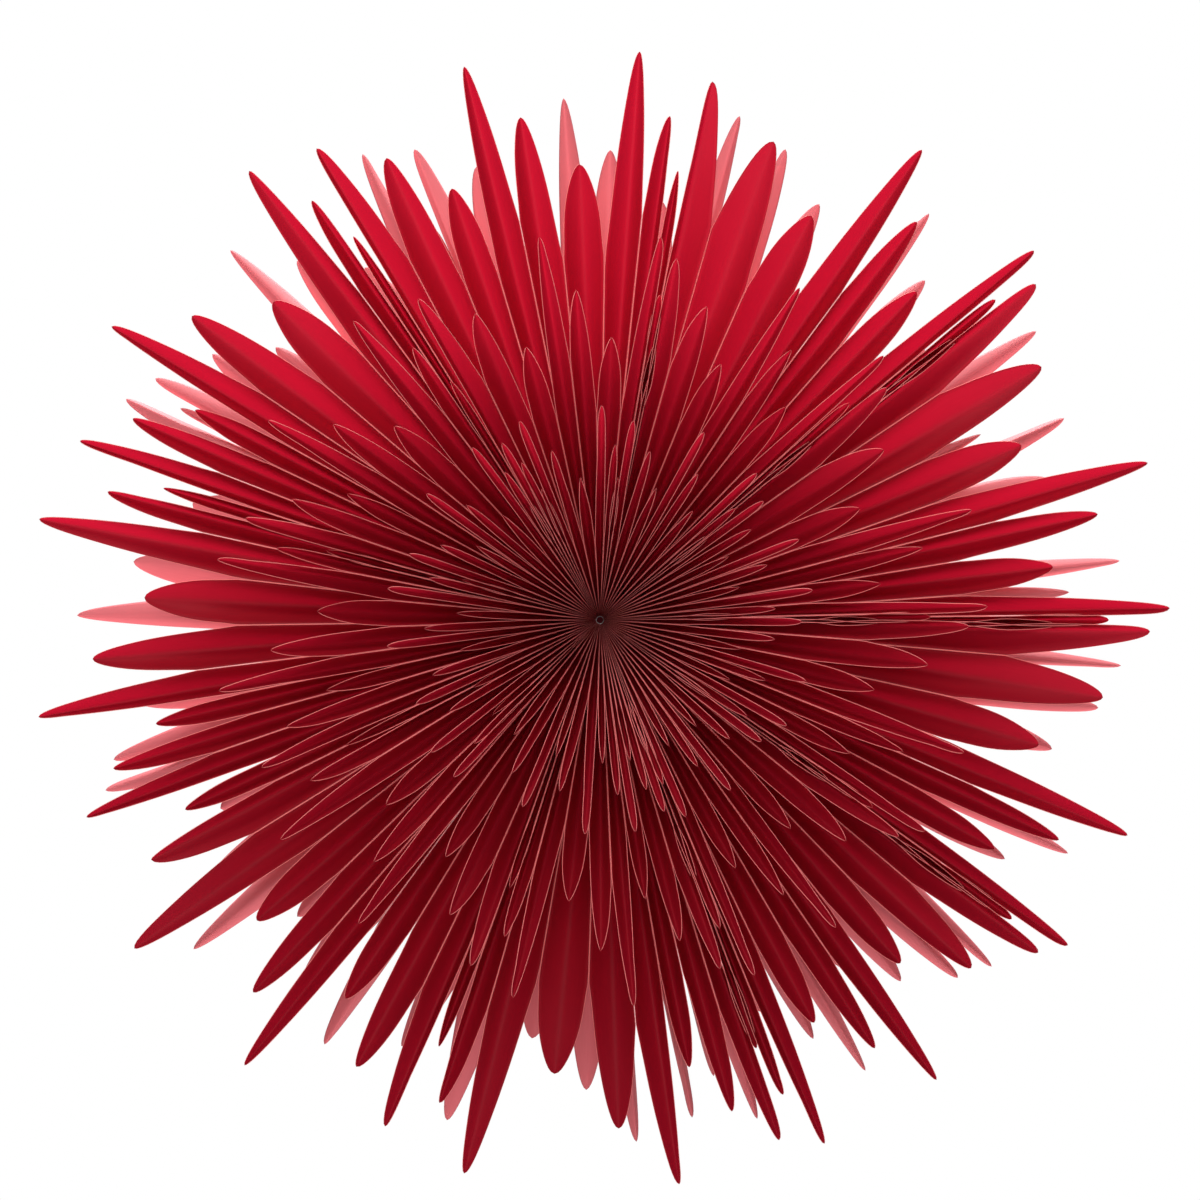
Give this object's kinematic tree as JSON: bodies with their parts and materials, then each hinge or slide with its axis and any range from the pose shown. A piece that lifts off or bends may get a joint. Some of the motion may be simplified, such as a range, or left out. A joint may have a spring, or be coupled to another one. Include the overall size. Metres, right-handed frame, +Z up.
{
  "type": "paper star lamp",
  "caption": "Round star of folded red card leaves in rings of long, medium and short points, glued edge to edge round a core with a lampholder and bulb inside.",
  "frame": {"origin": "mouth of the cord hole at the top of the cord grip, straight above the star's centre", "axes": "+Z up along the cord, the star's axis along Y with the front towards -Y, +X to the right seen from the front"},
  "size_m": [0.5899, 0.39, 0.5886],
  "materials": {
    "card": "matt crimson card with pale cut edges",
    "spine_plastic": "dark maroon",
    "bracket_steel": "zinc plated",
    "holder_plastic": "satin ivory",
    "bulb_glass": "opal white globe with a plain metal cap"
  },
  "bodies": {
    "root": {"front_outer_fan_1": "card", "front_outer_fan_2": "card", "front_outer_fan_3": "card", "front_outer_fan_4": "card", "front_outer_fan_5": "card", "front_outer_fan_6": "card", "front_outer_fan_7": "card", "front_outer_fan_8": "card", "front_outer_fan_9": "card", "front_middle_fan_1": "card", "front_middle_fan_2": "card", "front_middle_fan_3": "card", "front_middle_fan_4": "card", "front_middle_fan_5": "card", "front_middle_fan_6": "card", "front_middle_fan_7": "card", "front_middle_fan_8": "card", "front_middle_fan_9": "card", "front_inner_fan_1": "card", "front_inner_fan_2": "card", "front_inner_fan_3": "card", "front_inner_fan_4": "card", "front_inner_fan_5": "card", "front_inner_fan_6": "card", "front_inner_fan_7": "card", "front_inner_fan_8": "card", "front_inner_fan_9": "card", "rear_outer_fan_1": "card", "rear_outer_fan_2": "card", "rear_outer_fan_3": "card", "rear_outer_fan_4": "card", "rear_outer_fan_5": "card", "rear_outer_fan_6": "card", "rear_outer_fan_7": "card", "rear_outer_fan_8": "card", "rear_outer_fan_9": "card", "rear_middle_fan_1": "card", "rear_middle_fan_2": "card", "rear_middle_fan_3": "card", "rear_middle_fan_4": "card", "rear_middle_fan_5": "card", "rear_middle_fan_6": "card", "rear_middle_fan_7": "card", "rear_middle_fan_8": "card", "rear_middle_fan_9": "card", "rear_inner_fan_1": "card", "rear_inner_fan_2": "card", "rear_inner_fan_3": "card", "rear_inner_fan_4": "card", "rear_inner_fan_5": "card", "rear_inner_fan_6": "card", "rear_inner_fan_7": "card", "rear_inner_fan_8": "card", "rear_inner_fan_9": "card", "spine_pins": "spine_plastic", "hanger_bracket": "bracket_steel", "lampholder": "holder_plastic", "lampholder_nut": "holder_plastic", "cord_grip": "holder_plastic", "bulb": "bulb_glass"}
  },
  "joints": []
}
